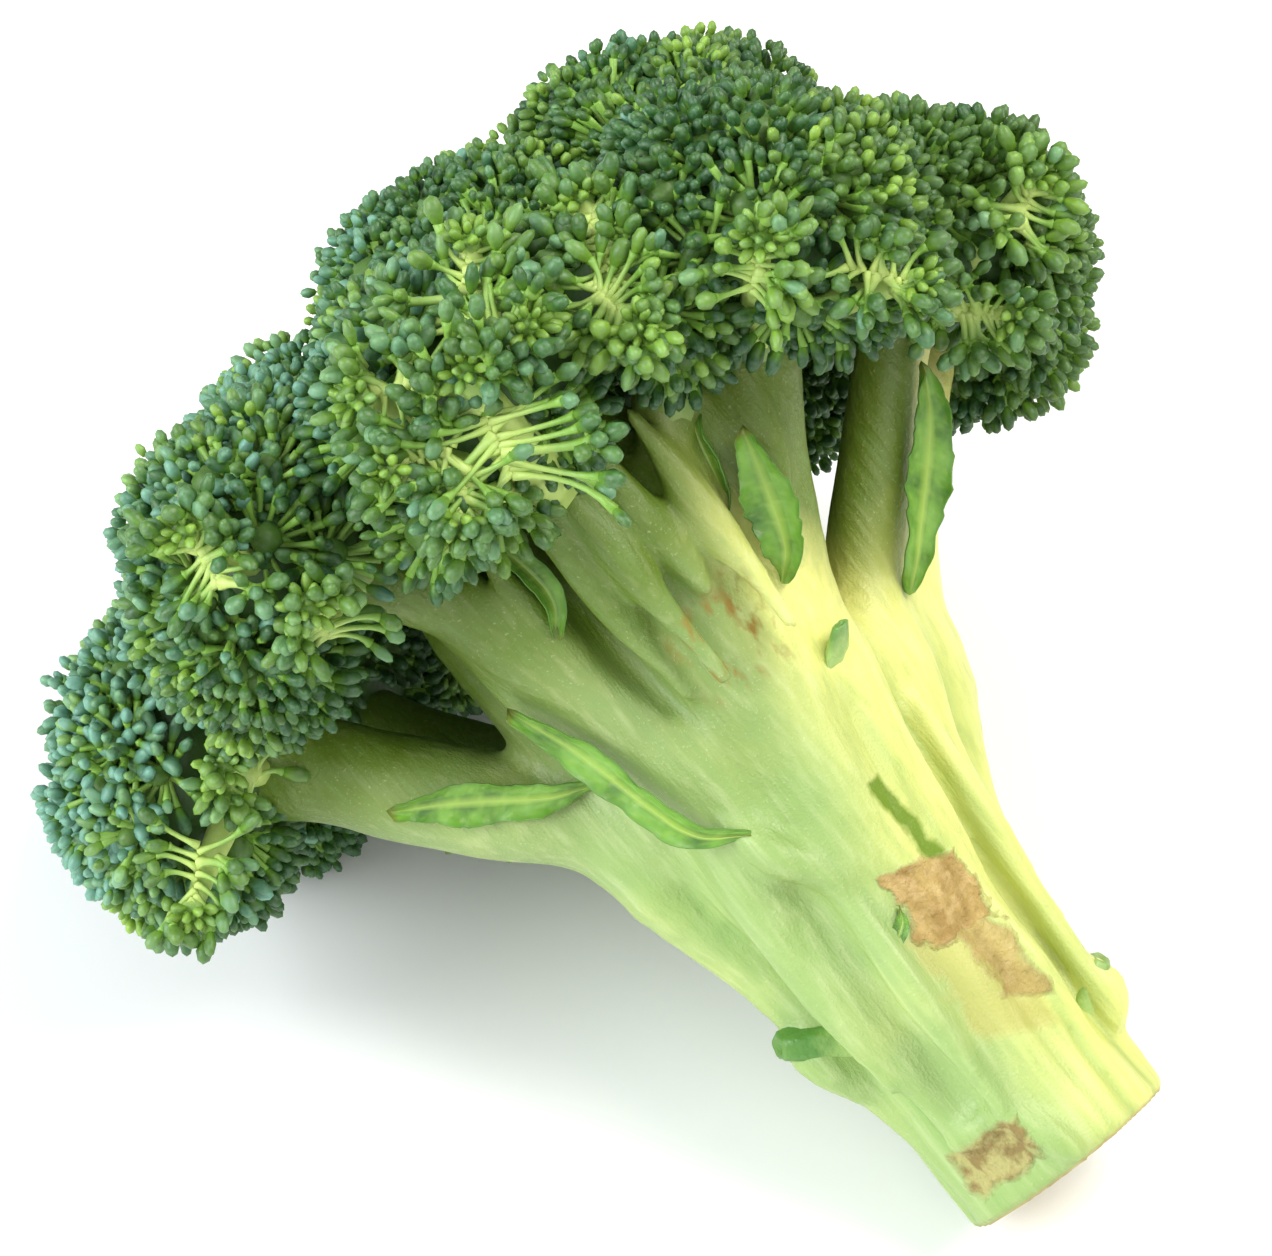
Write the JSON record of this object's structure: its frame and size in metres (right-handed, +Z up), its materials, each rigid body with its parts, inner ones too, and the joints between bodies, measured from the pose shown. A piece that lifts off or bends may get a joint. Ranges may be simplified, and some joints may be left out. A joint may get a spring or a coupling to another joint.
{
  "type": "broccoli head",
  "caption": "Head of broccoli lying on its side: a thick fluted stalk with a flat cut end forks into branches that carry a dome of green bud florets.",
  "frame": {"origin": "on the surface that the head lies on, under the middle of its bounding box", "axes": "+Z up as it lies on its side; the cut end of the stalk faces +X and the crown -X; +Y to the left of someone who looks from the cut end to the crown"},
  "size_m": [0.1906, 0.187, 0.1636],
  "materials": {
    "rind": "smooth waxy rind, pale green to cream",
    "buds": "dull bluish-green bud heads with a waxy bloom",
    "leaf": "satin mid-green leaf",
    "dried_rind": "dry, rough, brown-green stub"
  },
  "bodies": {
    "root": {"stalk": "rind", "branch_left": "rind", "branch_front_left": "rind", "branch_front": "rind", "branch_front_mid": "rind", "branch_front_right": "rind", "branch_right": "rind", "branch_far_right": "rind", "branch_rear_right": "rind", "branch_rear": "rind", "branch_rear_left": "rind", "branch_centre": "rind", "branch_centre_left": "rind", "branch_centre_right": "rind", "branch_centre_rear": "rind", "floret_left": "buds", "floret_front_left": "buds", "floret_front": "buds", "floret_front_mid": "buds", "floret_front_right": "buds", "floret_right": "buds", "floret_far_right": "buds", "floret_rear_right": "buds", "floret_rear": "buds", "floret_rear_left": "buds", "floret_centre": "buds", "floret_centre_left": "buds", "floret_centre_right": "buds", "floret_centre_rear": "buds", "leaf_left_branch": "leaf", "leaf_fork": "leaf", "leaf_curled": "leaf", "leaf_front": "leaf", "leaf_cupped": "leaf", "leaf_long": "leaf", "leaf_rear_right": "leaf", "leaf_rear": "leaf", "leaf_rear_left": "leaf", "stub_foot": "dried_rind", "stub_left": "dried_rind", "stub_right": "dried_rind", "stub_fork": "dried_rind", "stub_rear": "dried_rind"}
  },
  "joints": []
}
